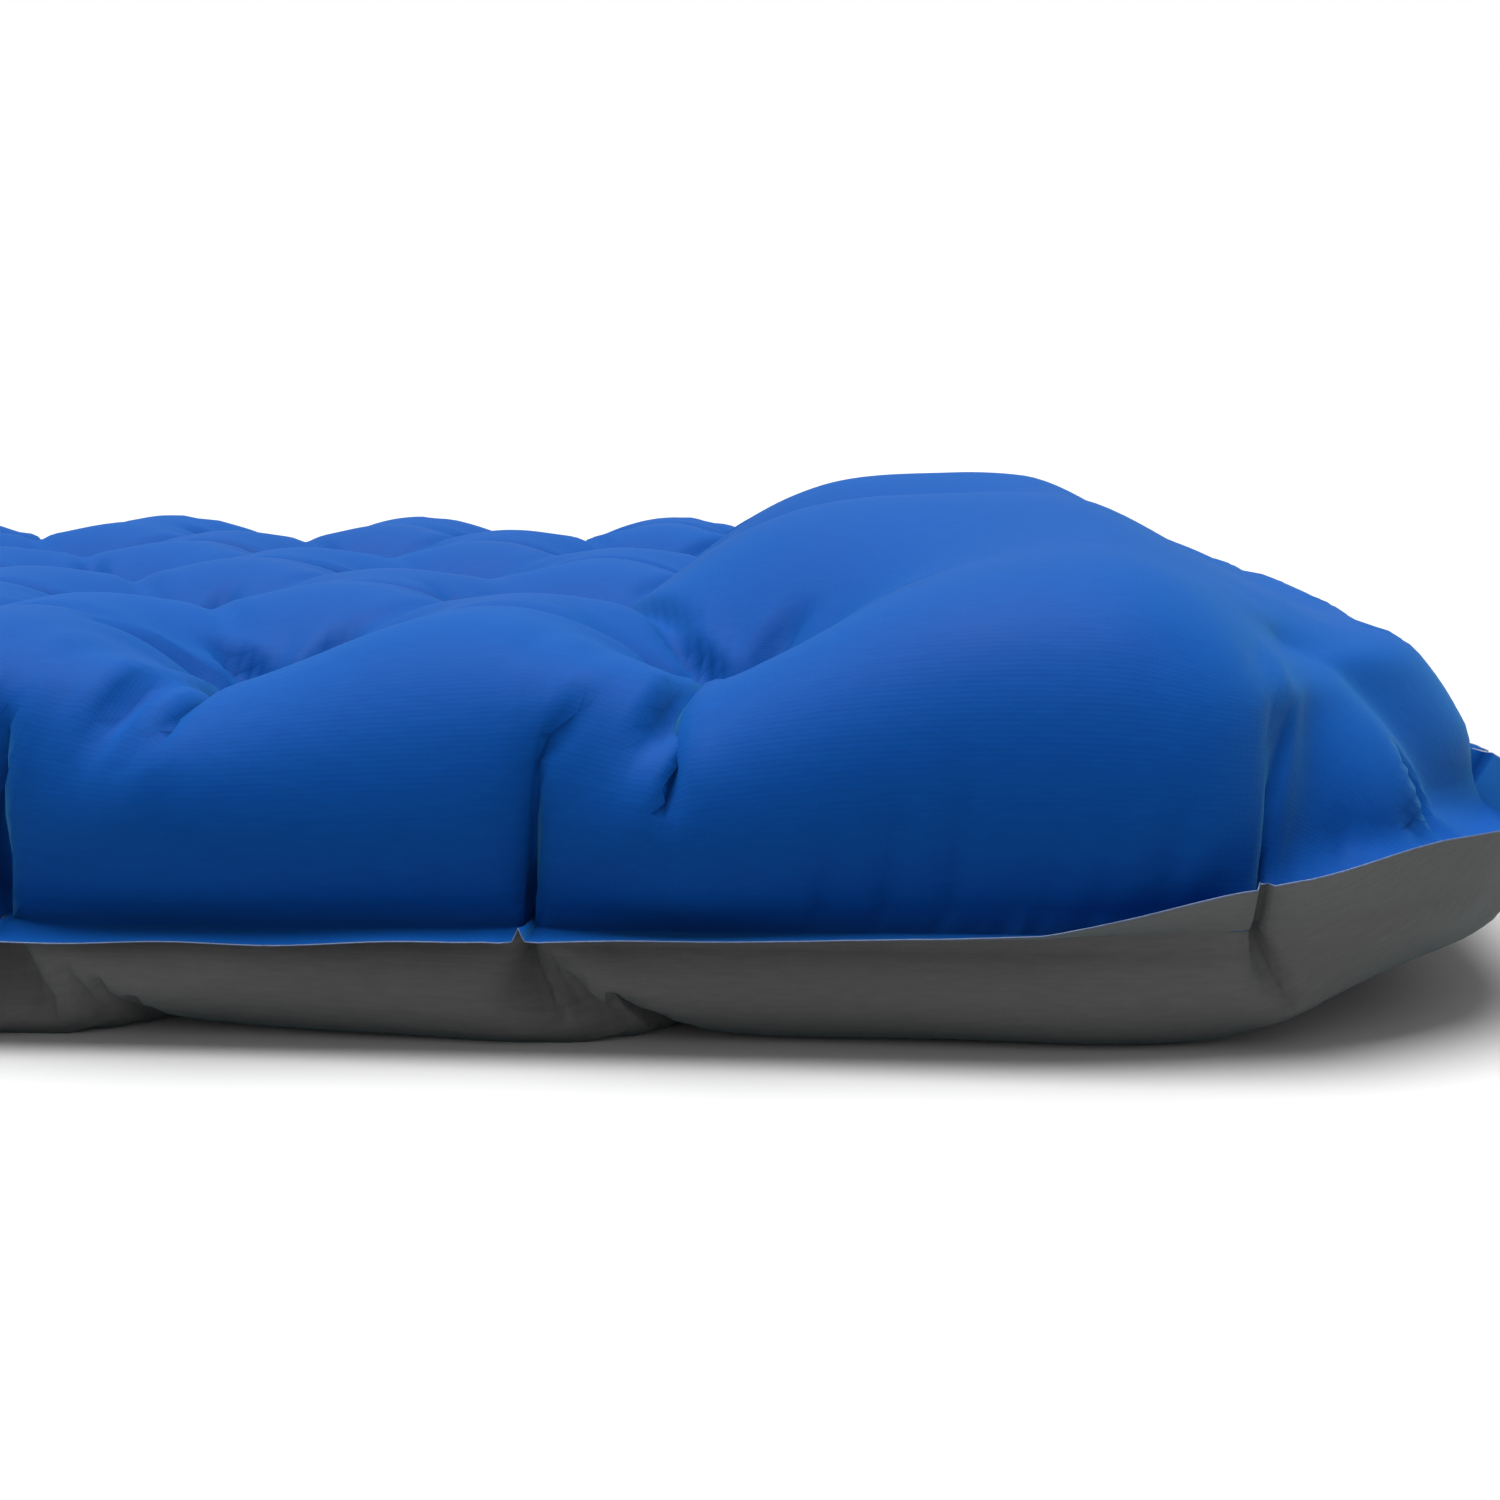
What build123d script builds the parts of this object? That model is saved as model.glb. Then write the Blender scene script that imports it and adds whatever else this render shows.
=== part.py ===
"""Inflatable camping mattress: two laminated sheets welded to each other round the edge and tied to each other at
spots between, with a raised head end and a two-stage air valve on top near the foot end.

Frame: +X towards the raised head end, +Y across, +Z up. The origin is on the floor under the middle.
The flanges of the two sheets meet in one plane, the seam plane. At each spot a short film tie inside is welded to
both sheets and holds them down to its own length, which makes a funnel in the top sheet and a shallow one in the
bottom sheet. Units are millimetres.
"""

import os

from build123d import *

# Whole mattress, inflated
LENGTH = 1980.0  # over the welded flange
WIDTH = 650.0
BODY_HEIGHT = 100.0
HEAD_HEIGHT = 130.0
FLANGE = 16.0  # width of the welded margin
CORNER_RADIUS = 110.0  # of the flange's outer edge, in plan
SEAM_Z = 30.0

# Sheets and welds
SHEET = 1.2  # thickness of a sheet
FILM = 0.6  # thickness of the melted film of a weld
SPOT_RADIUS = 6.0
TOP_SPOT_Z = 68.0  # outer face of the top sheet at a spot
BOTTOM_SPOT_Z = 12.0  # outer face of the bottom sheet at a spot
TIE_PAD_RADIUS = 5.5
TIE_PAD = 0.8  # thickness
TIE_WEB = 0.8  # thickness
TIE_WIDTH = 9.0
SPOT_PITCH_X = 134.0  # between spots along a row
SPOT_PITCH_Y = 116.0  # between rows
ROWS = 5
HEAD_CLEAR = 241.0  # from the head end to the nearest spot, which leaves the head end free to rise
FOOT_CLEAR = 125.0  # no spot is nearer the foot end than this
TOP_FUNNEL_RADIUS = 34.0  # where a funnel opens into the top
BOTTOM_FUNNEL_RADIUS = 22.0

# Roundings of the plain outer shapes
TOP_EDGE_RADIUS = 48.0
HEAD_EDGE_RADIUS = 60.0
BOTTOM_EDGE_RADIUS = 26.0
HEAD_BLOCK_LENGTH = 190.0
HEAD_BLOCK_INSET = 4.0  # the raised block stands this far inside the body's walls

# Valve, about its own axis; heights are above the top sheet's outer face
VALVE_X = -890.0
VALVE_Y = 116.0
COLLAR_RADIUS = 18.0
COLLAR_BORE = 14.0
COLLAR_TOP = 4.0
COLLAR_FOOT = -6.0
WELD_DISC_RADIUS = 33.0
WELD_DISC = 1.0  # thickness
SHEET_HOLE_GAP = 0.2

LID_RADIUS = 19.0
LID_TOP = 6.0
PLUG_RADIUS = 13.4
PLUG_WALL = 1.6
PLUG_FOOT = -2.0
NECK_RADIUS = 10.0
NECK_BORE = 7.5
NECK_TOP = 9.0
VALVE_FLOOR_TOP = -2.5  # the perforated floor of the neck
VALVE_FLOOR = 1.6
PORT_RADIUS = 2.1
PORT_CIRCLE = 4.6
PORTS = 6
STEM_HOLE = 1.2
SEAL_GAP = 0.25  # free seals are this much smaller than the bores that they fill when pressed home
SEAT_GAP = 0.1  # under a closed lid or cap

CAP_RADIUS = 11.5
CAP_TOP = 10.8
CAP_PLUG_RADIUS = 7.0
CAP_PLUG_FOOT = 6.0

MEMBRANE_RADIUS = 7.0
MEMBRANE = 0.6
STEM_RADIUS = 1.0
BULB_RADIUS = 1.5
BULB_FOOT = -1.2
BULB_TOP = 0.2
MEMBRANE_GAP = 0.1

STRAP = 1.2  # thickness
STRAP_WIDTH = 8.0
STRAP_RING_GAP = 0.1
LID_HINGE_X = -24.0
CAP_HINGE_X = 15.5

seam_low = SEAM_Z - FILM / 2
seam_high = SEAM_Z + FILM / 2
tie_low = BOTTOM_SPOT_Z + SHEET + FILM
tie_high = TOP_SPOT_Z - SHEET - FILM


def rounded_slab(x_low, x_high, width, corner, z_low, z_high):
    """An upright slab with rounded corners in plan."""
    outline = Pos((x_low + x_high) / 2, 0, z_low) * RectangleRounded(x_high - x_low, width, corner)
    return extrude(outline, z_high - z_low)


def edges_at(shape, z):
    """The edges of a slab that lie in the plane at height z."""
    return shape.edges().filter_by_position(Axis.Z, z, z)


def spot_centres():
    """The weld spots in plan: rows along X, each second row shifted by half a pitch."""
    found = []
    for row in range(ROWS):
        y = (row - (ROWS - 1) / 2) * SPOT_PITCH_Y
        x = LENGTH / 2 - HEAD_CLEAR - (row % 2) * SPOT_PITCH_X / 2
        while x > -LENGTH / 2 + FOOT_CLEAR:
            found.append((x, y))
            x -= SPOT_PITCH_X
    return found


def cone_between(radius_low, radius_high, z_low, z_high):
    """A cone frustum on the Z axis."""
    middle = Pos(0, 0, (z_low + z_high) / 2)
    return middle * Cone(radius_low, radius_high, z_high - z_low)


def at_spots(shape):
    return [Pos(x, y, 0) * shape for x, y in spot_centres()]


def top_form(inset, z_low):
    """The plain outer form of the top, shrunk by inset on every side but its underside."""
    end = LENGTH / 2 - FLANGE - inset
    width = WIDTH - 2 * FLANGE - 2 * inset
    corner = CORNER_RADIUS - FLANGE - inset
    body_top = BODY_HEIGHT - inset
    body = rounded_slab(-end, end, width, corner, z_low, body_top)
    body = fillet(edges_at(body, body_top), TOP_EDGE_RADIUS - inset)
    head_end = end - HEAD_BLOCK_INSET
    head_start = LENGTH / 2 - FLANGE - HEAD_BLOCK_INSET - HEAD_BLOCK_LENGTH + inset
    head_top = HEAD_HEIGHT - inset
    head_width = width - 2 * HEAD_BLOCK_INSET
    head = rounded_slab(head_start, head_end, head_width, corner - HEAD_BLOCK_INSET, z_low, head_top)
    head = fillet(edges_at(head, head_top), HEAD_EDGE_RADIUS - inset)
    return body + head


def bottom_form(inset, z_high):
    """The plain outer form of the underside, shrunk by inset on every side but its top."""
    end = LENGTH / 2 - FLANGE - inset
    width = WIDTH - 2 * FLANGE - 2 * inset
    body = rounded_slab(-end, end, width, CORNER_RADIUS - FLANGE - inset, inset, z_high)
    return fillet(edges_at(body, inset), BOTTOM_EDGE_RADIUS - inset)


def flange_plate(z_low, z_high):
    return rounded_slab(-LENGTH / 2, LENGTH / 2, WIDTH, CORNER_RADIUS, z_low, z_high)


def make_top_sheet():
    """The blue sheet: a shell with a flange, a funnel at each weld spot and a hole for the valve's collar."""
    overshoot = 1.0
    slope = (TOP_FUNNEL_RADIUS - SPOT_RADIUS) / (BODY_HEIGHT - TOP_SPOT_Z)
    funnel_top = BODY_HEIGHT + overshoot
    wide = TOP_FUNNEL_RADIUS + slope * overshoot
    funnel = cone_between(SPOT_RADIUS, wide, TOP_SPOT_Z, funnel_top)
    post = cone_between(SPOT_RADIUS, wide + SHEET + slope * SHEET, TOP_SPOT_Z - SHEET, funnel_top)
    outside = top_form(0, seam_high) + flange_plate(seam_high, seam_high + SHEET)
    outside = outside - at_spots(funnel)
    cavity = top_form(SHEET, seam_high) - at_spots(post)
    hole = Pos(VALVE_X, VALVE_Y, BODY_HEIGHT) * Cylinder(COLLAR_RADIUS + SHEET_HOLE_GAP, 6 * SHEET)
    return outside - cavity - hole


def make_bottom_sheet():
    """The grey sheet: a shallow tray with a flange, flat underneath, with a shallow funnel at each weld spot."""
    overshoot = 1.0
    slope = (BOTTOM_FUNNEL_RADIUS - SPOT_RADIUS) / BOTTOM_SPOT_Z
    wide = BOTTOM_FUNNEL_RADIUS + slope * overshoot
    funnel = cone_between(wide, SPOT_RADIUS, -overshoot, BOTTOM_SPOT_Z)
    post = cone_between(wide + SHEET + slope * SHEET, SPOT_RADIUS, -overshoot, BOTTOM_SPOT_Z + SHEET)
    outside = bottom_form(0, seam_low) + flange_plate(seam_low - SHEET, seam_low)
    outside = outside - at_spots(funnel)
    cavity = bottom_form(SHEET, seam_low) - at_spots(post)
    return outside - cavity


def make_edge_weld():
    """The melted film all round, between the two flanges."""
    end = LENGTH / 2 - FLANGE
    width = WIDTH - 2 * FLANGE
    inside = rounded_slab(-end, end, width, CORNER_RADIUS - FLANGE, seam_low, seam_high)
    return flange_plate(seam_low, seam_high) - inside


def make_spot_welds():
    """The melted film at each spot: one disc under the top sheet and one on the bottom sheet."""
    upper = rod(TIE_PAD_RADIUS, tie_high, TOP_SPOT_Z - SHEET)
    lower = rod(TIE_PAD_RADIUS, BOTTOM_SPOT_Z + SHEET, tie_low)
    return Compound(at_spots(upper) + at_spots(lower))


def make_tie_straps():
    """The ties: an upright web of film with a round pad at each end, one between each two weld discs."""
    upper = rod(TIE_PAD_RADIUS, tie_high - TIE_PAD, tie_high)
    lower = rod(TIE_PAD_RADIUS, tie_low, tie_low + TIE_PAD)
    web = block(-TIE_WEB / 2, TIE_WEB / 2, TIE_WIDTH, tie_low + TIE_PAD, tie_high - TIE_PAD)
    return Compound(at_spots(upper + web + lower))


def rod(radius, z_low, z_high):
    """A cylinder on the Z axis."""
    return Pos(0, 0, (z_low + z_high) / 2) * Cylinder(radius, z_high - z_low)


def tube(radius, bore, z_low, z_high):
    return rod(radius, z_low, z_high) - rod(bore, z_low, z_high)


def block(x_low, x_high, width, z_low, z_high):
    """A box centred on the X axis."""
    middle = Pos((x_low + x_high) / 2, 0, (z_low + z_high) / 2)
    return middle * Box(x_high - x_low, width, z_high - z_low)


def make_valve_base():
    """The weld disc under the top sheet, and the collar that stands out through it."""
    disc = tube(WELD_DISC_RADIUS, COLLAR_BORE, -SHEET - WELD_DISC, -SHEET)
    collar = tube(COLLAR_RADIUS, COLLAR_BORE, COLLAR_FOOT, COLLAR_TOP)
    return collar + disc


seal_low, seal_high = 1.2, 2.6  # the groove of the lid's seal
seal_depth = 0.8
cap_seal_low, cap_seal_high = 6.9, 7.9
cap_seal_depth = 0.6


def finger_tab(x_low, x_high, width, z_low, z_high):
    tab = block(x_low, x_high, width, z_low, z_high)
    outer = x_low if abs(x_low) > abs(x_high) else x_high
    corners = tab.edges().filter_by(Axis.Z).filter_by_position(Axis.X, outer, outer)
    return fillet(corners, width / 3)


def make_deflate_lid():
    """The large lid: disc, plug, inflation neck and the neck's perforated floor."""
    disc = rod(LID_RADIUS, COLLAR_TOP + SEAT_GAP, LID_TOP)
    tab = finger_tab(LID_RADIUS - 2, LID_RADIUS + 5.5, 12, COLLAR_TOP + SEAT_GAP, LID_TOP)
    plug = tube(PLUG_RADIUS, PLUG_RADIUS - PLUG_WALL, PLUG_FOOT, COLLAR_TOP + SEAT_GAP)
    neck = rod(NECK_RADIUS, VALVE_FLOOR_TOP - VALVE_FLOOR, NECK_TOP)
    lid = disc + tab + plug + neck
    lid -= rod(NECK_BORE, VALVE_FLOOR_TOP, NECK_TOP)
    lid -= tube(PLUG_RADIUS, PLUG_RADIUS - seal_depth, seal_low, seal_high)
    port = Pos(PORT_CIRCLE, 0, 0) * rod(PORT_RADIUS, VALVE_FLOOR_TOP - VALVE_FLOOR, VALVE_FLOOR_TOP)
    lid -= [Rot(0, 0, 360 / PORTS * n) * port for n in range(PORTS)]
    return lid - rod(STEM_HOLE, VALVE_FLOOR_TOP - VALVE_FLOOR, VALVE_FLOOR_TOP)


def make_lid_seal():
    """The ring seal in the lid's plug, drawn at its free size."""
    return tube(COLLAR_BORE - SEAL_GAP, PLUG_RADIUS - seal_depth, seal_low, seal_high)


def make_check_membrane():
    """The silicone disc that closes the ports from below, with the stem and bulb that hold it."""
    top = VALVE_FLOOR_TOP - VALVE_FLOOR - MEMBRANE_GAP
    disc = rod(MEMBRANE_RADIUS, top - MEMBRANE, top)
    stem = rod(STEM_RADIUS, top, BULB_FOOT)
    bulb = rod(BULB_RADIUS, BULB_FOOT, BULB_TOP)
    return disc + stem + bulb


def make_inflate_cap():
    """The small cap and the plug that closes the neck."""
    foot = NECK_TOP + SEAT_GAP
    disc = rod(CAP_RADIUS, foot, CAP_TOP)
    tab = finger_tab(-CAP_RADIUS - 4.5, -CAP_RADIUS + 2, 9, foot, CAP_TOP)
    plug = rod(CAP_PLUG_RADIUS, CAP_PLUG_FOOT, foot)
    groove = tube(CAP_PLUG_RADIUS, CAP_PLUG_RADIUS - cap_seal_depth, cap_seal_low, cap_seal_high)
    return disc + tab + plug - groove


def make_cap_seal():
    """The ring seal on the cap's plug, drawn at its free size."""
    radius = NECK_BORE - SEAL_GAP
    return tube(radius, CAP_PLUG_RADIUS - cap_seal_depth, cap_seal_low, cap_seal_high)


def make_strap(ring_bore, ring_radius, ring_z, hinge_x, lid_edge, lid_z):
    """A flexible strap: a ring round a collar, a band out from it, a loop at hinge_x and a tail to the lid's edge."""
    side = 1 if hinge_x > 0 else -1
    ring = tube(ring_radius, ring_bore, ring_z - STRAP / 2, ring_z + STRAP / 2)
    loop = (lid_z - ring_z) / 2
    start = (side * (ring_bore + ring_radius) / 2, ring_z)
    low, high = (hinge_x, ring_z), (hinge_x, lid_z)
    out = (hinge_x + side * loop, ring_z + loop)
    path = Line(start, low) + ThreePointArc(low, out, high) + Line(high, (side * lid_edge, lid_z))
    ribbon = Plane.XZ * trace(path, STRAP)
    band = extrude(ribbon, STRAP_WIDTH / 2, both=True)
    collar_space = rod(ring_bore, ring_z - STRAP, ring_z + STRAP)
    lid_space = rod(lid_edge, lid_z - STRAP, lid_z + STRAP)
    return ring + (band - collar_space - lid_space)


def make_lid_strap():
    ring_z = COLLAR_TOP / 2 - 0.6
    lid_z = (COLLAR_TOP + LID_TOP) / 2
    return make_strap(COLLAR_RADIUS + STRAP_RING_GAP, 20.5, ring_z, LID_HINGE_X, LID_RADIUS + 0.02, lid_z)


def make_cap_strap():
    ring_z = LID_TOP + 0.9
    cap_z = (NECK_TOP + CAP_TOP) / 2
    return make_strap(NECK_RADIUS + STRAP_RING_GAP, 12.4, ring_z, CAP_HINGE_X, CAP_RADIUS + 0.02, cap_z)


def at_valve(shape):
    return Pos(VALVE_X, VALVE_Y, BODY_HEIGHT) * shape


def main():
    parts = {
        "top_sheet": make_top_sheet(),
        "bottom_sheet": make_bottom_sheet(),
        "edge_weld": make_edge_weld(),
        "spot_welds": make_spot_welds(),
        "tie_straps": make_tie_straps(),
        "valve_base": at_valve(make_valve_base()),
        "deflate_lid": at_valve(make_deflate_lid()),
        "lid_seal": at_valve(make_lid_seal()),
        "lid_strap": at_valve(make_lid_strap()),
        "check_membrane": at_valve(make_check_membrane()),
        "inflate_cap": at_valve(make_inflate_cap()),
        "cap_seal": at_valve(make_cap_seal()),
        "cap_strap": at_valve(make_cap_strap()),
    }
    os.makedirs("parts", exist_ok=True)
    for name, shape in parts.items():
        export_step(shape, f"parts/{name}.step")


main()
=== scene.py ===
"""The inflated mattress as it looks. Two sheets of cloth, welded at the edge and at spots, are inflated
by a cloth solver, then shaped at the head end and along the creases. The valve's moulded pieces
get their finishes. The scene is in metres, the solver in millimetres."""

import math

import bmesh
import bpy
import numpy as np
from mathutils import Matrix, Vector


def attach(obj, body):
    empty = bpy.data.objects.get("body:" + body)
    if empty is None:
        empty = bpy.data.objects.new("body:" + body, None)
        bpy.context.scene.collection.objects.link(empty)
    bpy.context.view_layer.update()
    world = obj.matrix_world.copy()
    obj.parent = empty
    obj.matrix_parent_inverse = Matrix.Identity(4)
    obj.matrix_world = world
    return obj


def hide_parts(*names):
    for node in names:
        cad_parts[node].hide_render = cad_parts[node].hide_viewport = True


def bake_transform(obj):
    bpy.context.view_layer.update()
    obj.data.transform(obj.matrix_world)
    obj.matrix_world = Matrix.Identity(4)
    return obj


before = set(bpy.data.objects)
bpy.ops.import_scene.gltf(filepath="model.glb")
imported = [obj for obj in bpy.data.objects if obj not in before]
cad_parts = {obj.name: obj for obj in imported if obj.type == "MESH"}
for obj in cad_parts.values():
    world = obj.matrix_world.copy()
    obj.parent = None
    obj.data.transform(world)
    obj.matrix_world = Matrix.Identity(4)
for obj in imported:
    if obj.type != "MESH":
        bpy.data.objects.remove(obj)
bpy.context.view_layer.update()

# The layout, as the CAD has it, in millimetres
LENGTH, WIDTH, FLANGE, CORNER = 1980.0, 650.0, 16.0, 110.0
PITCH_X, PITCH_Y = 134.0, 116.0
LAST_SPOT = 749.0  # x of the spots nearest the head end
FIRST_SPOT = LAST_SPOT - 12 * PITCH_X
SEAM_Z, TOP_Z = 30.0, 100.0
HEAD_SEAM_RISE = 8.0
SPOT_Z = (68.0, 12.0)  # of the weld spots in the top and the bottom
VALVE = np.array([-890.0, 116.0])

CELLS_X, CELLS_Y = 36, 30  # grid cells in a pitch
TINY = 1e-6  # keeps a division from being one by zero


# ---------------------------------------------------------------- the flat layout

FOOT_CELLS, HEAD_CELLS, SIDE_CELLS = 30, 60, 20  # grid cells from the outer spots to the seam
SPREAD_ROUNDS = 900  # rounds that spread the outline's bend into the grid


def steps(low, high, count):
    """The ends of count equal steps."""
    return np.linspace(low, high, count + 1)


def lines(k):
    """Grid lines along X and Y, with lines through the weld spots. k = 2 halves the resolution."""
    half_x, half_y = LENGTH / 2 - FLANGE, WIDTH / 2 - FLANGE
    foot = steps(-half_x, FIRST_SPOT, FOOT_CELLS // k)
    body = steps(FIRST_SPOT, LAST_SPOT, 12 * CELLS_X // k)
    head = steps(LAST_SPOT, half_x, HEAD_CELLS // k)
    side = steps(-half_y, -2 * PITCH_Y, SIDE_CELLS // k)
    middle = steps(-2 * PITCH_Y, 2 * PITCH_Y, 4 * CELLS_Y // k)
    xs = np.concatenate([foot[:-1], body, head[1:]])
    ys = np.concatenate([side[:-1], middle, -side[::-1][1:]])
    return xs, ys


def outline(inset, xs, ys):
    """Points on the rounded outline that the grid's lines meet, on a long and on a short side."""
    half_x, half_y, radius = LENGTH / 2 - inset, WIDTH / 2 - inset, CORNER - inset
    arc = radius * math.pi / 4

    def side(along, reach, other):
        straight = reach - radius
        total = straight + arc
        s = along / along.max() * total
        out = np.zeros((len(along), 2))
        a = np.clip((np.abs(s) - straight) / radius, 0, None)
        out[:, 0] = np.where(np.abs(s) <= straight, s, np.sign(s) * (straight + radius * np.sin(a)))
        out[:, 1] = other - radius * (1 - np.cos(a))
        return out

    return side(xs, half_x, half_y), side(ys, half_y, half_x)


def flat_grid(k):
    """The plan position of every grid vertex: a plain grid, bent near the corners to follow the outline."""
    xs, ys = lines(k)
    p = np.stack(np.meshgrid(xs, ys, indexing="ij"), -1)
    long_side, short_side = outline(FLANGE, xs, ys)
    goal = p.copy()
    goal[:, 0, 0], goal[:, 0, 1] = long_side[:, 0], -long_side[:, 1]
    goal[:, -1, 0], goal[:, -1, 1] = long_side[:, 0], long_side[:, 1]
    goal[0, :, 1], goal[0, :, 0] = short_side[:, 0], -short_side[:, 1]
    goal[-1, :, 1], goal[-1, :, 0] = short_side[:, 0], short_side[:, 1]
    shift = np.zeros_like(p)
    for edge in (np.s_[:, 0], np.s_[:, -1], np.s_[0, :], np.s_[-1, :]):
        shift[edge] = goal[edge] - p[edge]
    free = np.ones(p.shape[:2], bool)
    free[[0, -1], :] = False
    free[:, [0, -1]] = False
    fixed = np.zeros(p.shape[:2], bool)
    for i, j in spot_index(k):
        fixed[max(i - 1, 0):i + 2, j - 1:j + 2] = True
    move = (free & ~fixed)[1:-1, 1:-1, None]
    for _ in range(SPREAD_ROUNDS // k):
        mean = (shift[2:, 1:-1] + shift[:-2, 1:-1] + shift[1:-1, 2:] + shift[1:-1, :-2]) / 4
        shift[1:-1, 1:-1] = np.where(move, mean, shift[1:-1, 1:-1])
    return p + shift


def spot_index(k):
    """Grid indices of the weld spots."""
    xs, ys = lines(k)
    found = []
    for row in range(5):
        y = (row - 2) * PITCH_Y
        x = LAST_SPOT - (row % 2) * PITCH_X / 2
        while x > FIRST_SPOT - 1:
            found.append((int(np.abs(xs - x).argmin()), int(np.abs(ys - y).argmin())))
            x -= PITCH_X
    return found


def smooth(a, b, x):
    """0 up to a, 1 from b, with a soft step between."""
    t = np.clip((x - a) / (b - a), 0, 1)
    return t * t * (3 - 2 * t)


GROW = 1.05  # how much longer the cloth is than its plan, over most of a sheet
SEAM_GROW = 1.09  # the same, along the seam
CLOTH_NOISE = 0.012  # how much those lengths vary from place to place

# What is added to GROW, in the top and in the bottom sheet
WALL_ALONG = 0.045  # along the side walls, in both
FOOT_WALL = (0.60, 0.30)  # up the foot end's wall
HEAD_ALONG = (0.14, -0.04)  # along the raised head end
SIDE_WALL = (0.79, 0.42)  # up the side walls
CORNER_EASE = (0.75, 0.6)  # the share of SIDE_WALL that the head end's corners go without
HEAD_NARROW = (0.03, 0.05)  # taken off across the head end


def growth(p, top):
    """The cloth's length over the plan's, along X and along Y, at each plan position."""
    layer = 0 if top else 1
    x, y = p[..., 0], p[..., 1]
    side = smooth(220, 250, np.abs(y))
    wall = smooth(245, 262, np.abs(y))
    end_foot = smooth(-860, -900, x)
    head = smooth(730, 800, x)
    corner = smooth(835, 935, x)
    gx = GROW + wall * WALL_ALONG
    gx += end_foot * FOOT_WALL[layer] + head * HEAD_ALONG[layer]
    walls = side * SIDE_WALL[layer] * (1 - CORNER_EASE[layer] * corner)
    gy = GROW + (walls - head * (1 - side) * HEAD_NARROW[layer])
    return gx, gy


def edge_distance(p):
    """Distance inside the seam, on the plan."""
    half = np.array([LENGTH / 2 - CORNER, WIDTH / 2 - CORNER])
    out = np.abs(p) - half
    outside = np.linalg.norm(np.clip(out, 0, None), axis=-1)
    inside = np.minimum(out.max(-1), 0)
    return (CORNER - FLANGE) - outside - inside


def value_noise(p, size, seed):
    """Smooth seeded noise in -1 to 1 on the plan."""
    rng = np.random.default_rng(seed)
    table = rng.uniform(-1, 1, (256, 64))
    u = p[..., 0] / size + 100
    v = p[..., 1] / size + 20
    i, j = np.floor(u).astype(int), np.floor(v).astype(int)
    fu, fv = u - i, v - j
    fu, fv = fu * fu * (3 - 2 * fu), fv * fv * (3 - 2 * fv)
    a, b = table[i % 256, j % 64], table[(i + 1) % 256, j % 64]
    c, d = table[i % 256, (j + 1) % 64], table[(i + 1) % 256, (j + 1) % 64]
    return (a * (1 - fu) + b * fu) * (1 - fv) + (c * (1 - fu) + d * fu) * fv


DOME_EDGE, DOME_UP, DOME_DOWN = 60, 55, 30  # of the low dome that the solve starts from
HOLD = 0.15  # how firmly the seam keeps its place
PLEAT_GAP = 1.8  # half the opening of a pleat
PLEAT_GROOVE, PLEAT_WIDTH = 9.0, 4.5  # depth and width of the groove that starts a pleat's fold
SPOT_RADIUS = 6.4  # of a spot's welded disc
VALVE_FLAT = 35  # radius of the flat cloth round the valve
FIRST_PLEAT = 704  # x of the side pleat nearest the head end


def outline_length():
    straight = 2 * (LENGTH + WIDTH - 4 * CORNER)
    return straight + 2 * math.pi * (CORNER - FLANGE)


def outline_point(s):
    """The point at arc length s on the seam's smooth outline, anticlockwise from the middle of the -Y
    side, and the direction out of it. Half way round it repeats, turned by 180 degrees."""
    radius = CORNER - FLANGE
    run_x, run_y = LENGTH / 2 - CORNER, WIDTH / 2 - CORNER
    arc = math.pi / 2 * radius
    total = 4 * run_x + 4 * run_y + 4 * arc
    s = np.mod(s, total)
    half = s > total / 2
    # t runs from the middle of the -Y side, round the +X end, to the middle of the +Y side
    t = np.where(half, s - total / 2, s)
    a = np.clip((t - run_x) / radius, 0, math.pi / 2)
    past_end = t - run_x - arc - 2 * run_y
    b = np.clip(past_end / radius, 0, math.pi / 2)
    angle = a + b
    x = np.clip(t, 0, run_x) + radius * np.sin(a)
    x = np.where(past_end > 0, run_x + radius * np.cos(b), x)
    x = np.where(past_end > arc, run_x - (past_end - arc), x)
    y = -run_y - radius * np.cos(a)
    y = np.where(t > run_x + arc, -run_y + np.clip(t - run_x - arc, 0, 2 * run_y), y)
    y = np.where(past_end > 0, run_y + radius * np.sin(b), y)
    turn = np.where(half, -1.0, 1.0)
    nx, ny = np.sin(angle), -np.cos(angle)
    return np.stack([x * turn, y * turn], -1), np.stack([nx * turn, ny * turn], -1)


def pleat_places():
    """Arc lengths of the pleats in the edge: along the sides one between each two spots of the outer
    rows, and in the ends and corners where they are listed one by one."""
    rng = np.random.default_rng(11)
    run_x, run_y = LENGTH / 2 - CORNER, WIDTH / 2 - CORNER
    arc = math.pi / 2 * (CORNER - FLANGE)
    total = outline_length()
    near, far = [], []
    for k in range(12):
        x = FIRST_PLEAT - PITCH_X * k
        near.append((x + (0 if k == 0 else rng.uniform(-9, 9))) % total)
        far.append((total / 2 - x + 22 + rng.uniform(-9, 9)) % total)
    head = [run_x + 5, run_x + 0.66 * arc, run_x + arc + 62, run_x + arc + 165, run_x + arc + 268,
            run_x + arc + 372, run_x + 1.45 * arc + 2 * run_y, run_x + 2 * arc + 2 * run_y - 8]
    foot = [total / 2 + q for q in (run_x - 6, run_x + 0.45 * arc, run_x + arc + 20, run_x + arc + 130,
                                    run_x + arc + 245, run_x + arc + 350, run_x + arc + 2 * run_y,
                                    run_x + 1.6 * arc + 2 * run_y, run_x + 2 * arc + 2 * run_y + 6)]
    return np.sort(np.array(near + far + head + foot) % total)


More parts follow.
